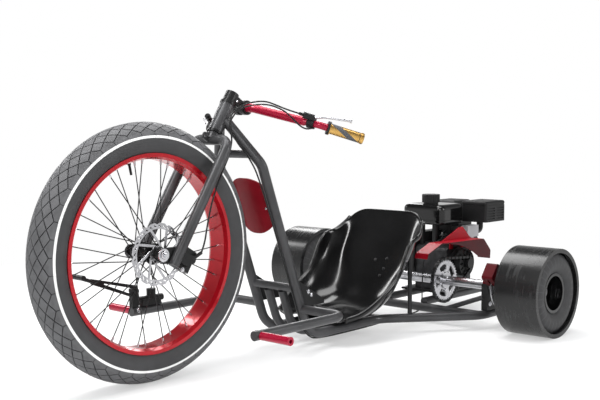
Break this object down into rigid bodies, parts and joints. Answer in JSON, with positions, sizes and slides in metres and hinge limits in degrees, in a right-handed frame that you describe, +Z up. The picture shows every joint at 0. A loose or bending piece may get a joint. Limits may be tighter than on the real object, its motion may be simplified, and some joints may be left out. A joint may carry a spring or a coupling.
{
  "type": "drift trike",
  "caption": "Low motorised drift trike with a spoked front wheel, raked fork, bucket seat, open tube frame and chain-driven rear axle with slick plastic sleeves.",
  "frame": {"origin": "on the floor, under the middle of the bounding box", "axes": "+X forward, +Y to the rider's left, +Z up"},
  "size_m": [2.1169, 1.25, 0.85],
  "materials": {
    "graphite_paint": "satin graphite paint",
    "black_paint": "satin black paint",
    "red_paint": "gloss red paint",
    "tyre_rubber": "matte black rubber",
    "grip_rubber": "gold grip with a grey rubber band",
    "sleeve_plastic": "scuffed black plastic pipe",
    "seat_plastic": "gloss black shell",
    "black_plastic": "moulded black plastic",
    "steel": "polished steel",
    "dark_steel": "oiled dark steel",
    "alloy": "cast light alloy"
  },
  "bodies": {
    "frame": {"head_tube": "graphite_paint", "headset_cups": "black_paint", "left_main_tube": "graphite_paint", "right_main_tube": "graphite_paint", "cross_tubes": "graphite_paint", "floor_bars": "graphite_paint", "gussets": "black_paint", "left_peg_arm": "graphite_paint", "right_peg_arm": "graphite_paint", "foot_pegs": "red_paint", "front_panel": "red_paint", "seat": "seat_plastic", "seat_stays": "steel", "bearing_brackets": "black_paint", "axle_bearings": "steel", "axle_braces": "black_paint", "rear_caliper": "red_paint", "engine_bed": "black_paint", "engine_plate": "black_paint", "crankcase": "alloy", "cylinder": "alloy", "fan_cowl": "black_paint", "fuel_tank": "black_paint", "tank_stands": "black_paint", "fuel_cap": "black_plastic", "air_filter": "black_plastic", "carburettor": "alloy", "muffler": "black_paint", "clutch": "black_paint", "chain": "dark_steel", "chain_guard": "red_paint", "master_cylinder": "black_paint", "brake_pedal": "dark_steel", "intake_elbow": "black_plastic", "frame_cable": "black_plastic"},
    "steering": {"fork": "graphite_paint", "dropouts": "black_paint", "front_spindle": "steel", "stem": "black_paint", "handlebar": "red_paint", "grips": "grip_rubber", "lever_perches": "black_paint", "brake_levers": "steel", "front_caliper": "black_paint", "front_brake_cable": "black_plastic", "bar_cable": "black_plastic"},
    "front_wheel": {"front_tyre": "tyre_rubber", "front_rim": "red_paint", "front_hub": "black_paint", "front_spokes": "black_paint", "front_rotor": "steel"},
    "rear_axle": {"rear_shaft": "steel", "drift_sleeves": "sleeve_plastic", "rear_tyres": "tyre_rubber", "rear_rims": "black_paint", "wheel_hubs": "black_paint", "rear_sprocket": "steel", "rear_disc": "steel"}
  },
  "joints": [
    {"name": "steer", "type": "hinge", "parent": "frame", "child": "steering", "pos_m": [0.40591, 0, 0.72223], "axis": [-0.5299, 0, 0.848], "range_deg": [-30, 30]},
    {"name": "front_spin", "type": "hinge", "parent": "steering", "child": "front_wheel", "pos_m": [0.673, 0, 0.375], "axis": [0, 1, 0], "continuous": true},
    {"name": "rear_spin", "type": "hinge", "parent": "frame", "child": "rear_axle", "pos_m": [-0.617, 0, 0.1575], "axis": [0, 1, 0], "continuous": true}
  ]
}
